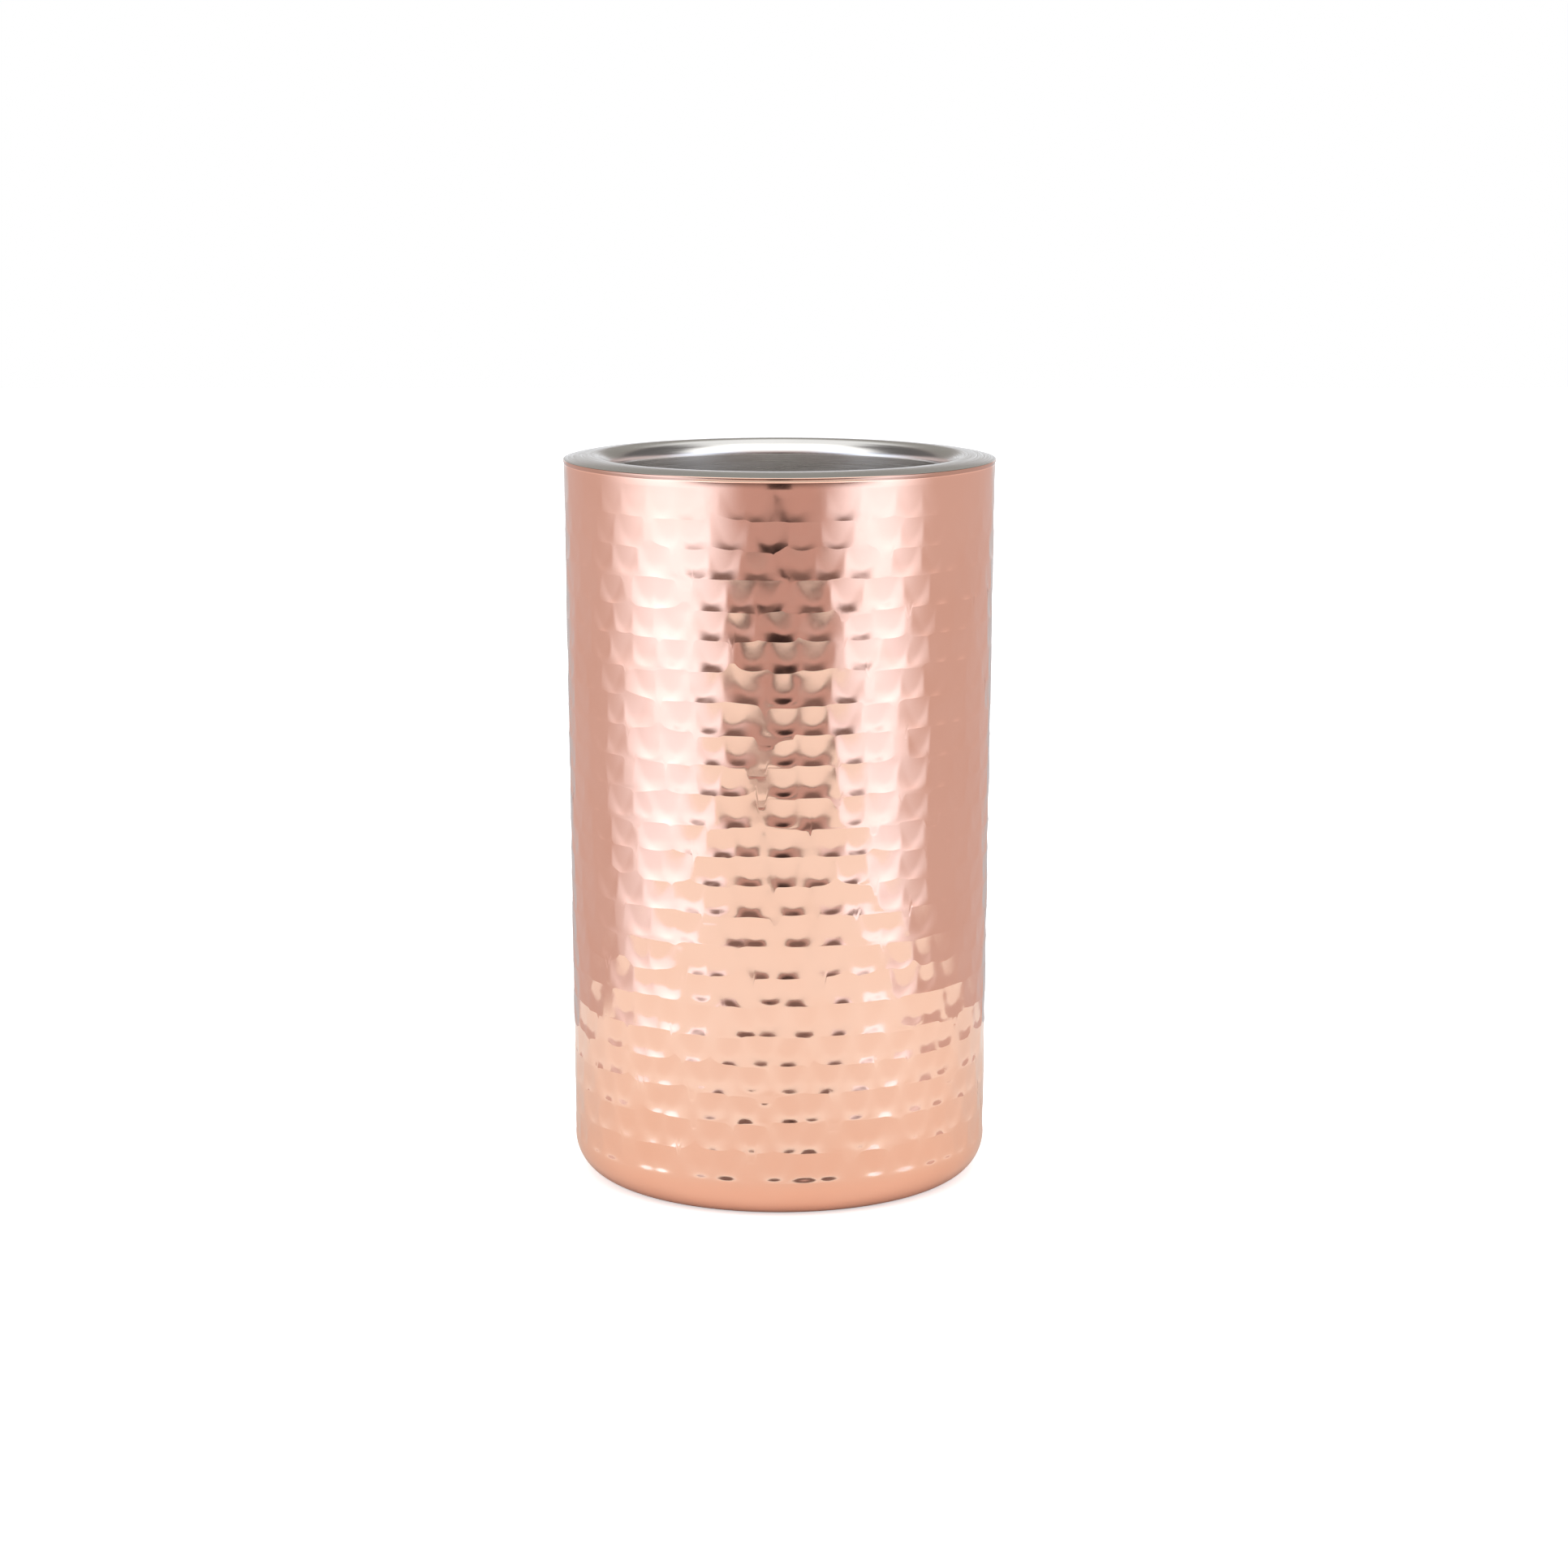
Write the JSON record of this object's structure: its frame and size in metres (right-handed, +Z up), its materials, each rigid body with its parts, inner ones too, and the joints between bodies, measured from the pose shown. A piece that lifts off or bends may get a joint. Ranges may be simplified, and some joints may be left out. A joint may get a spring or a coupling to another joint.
{
  "type": "ice bucket",
  "caption": "Tall double-walled ice and bottle bucket with a hammered copper shell, a satin steel liner, a wide flat lip and a rounded foot.",
  "frame": {"origin": "centre of the face that the bucket stands on", "axes": "+Z up along the bucket's axis, out of the mouth; X and Y are interchangeable"},
  "size_m": [0.1186, 0.1186, 0.201],
  "materials": {
    "hammered_copper": "copper plate on steel, hand-hammered in rows and polished bright; it runs over the dressed rim weld",
    "satin_steel": "satin, brushed round the axis",
    "pressed_steel": "mill finish, pressed",
    "weld": "dressed weld bead",
    "plug": "bright"
  },
  "bodies": {
    "root": {"outer_shell": "hammered_copper", "inner_liner": "satin_steel", "base_plate": "pressed_steel", "rim_weld": "hammered_copper", "base_weld": "weld", "vent_plug": "plug"}
  },
  "joints": []
}
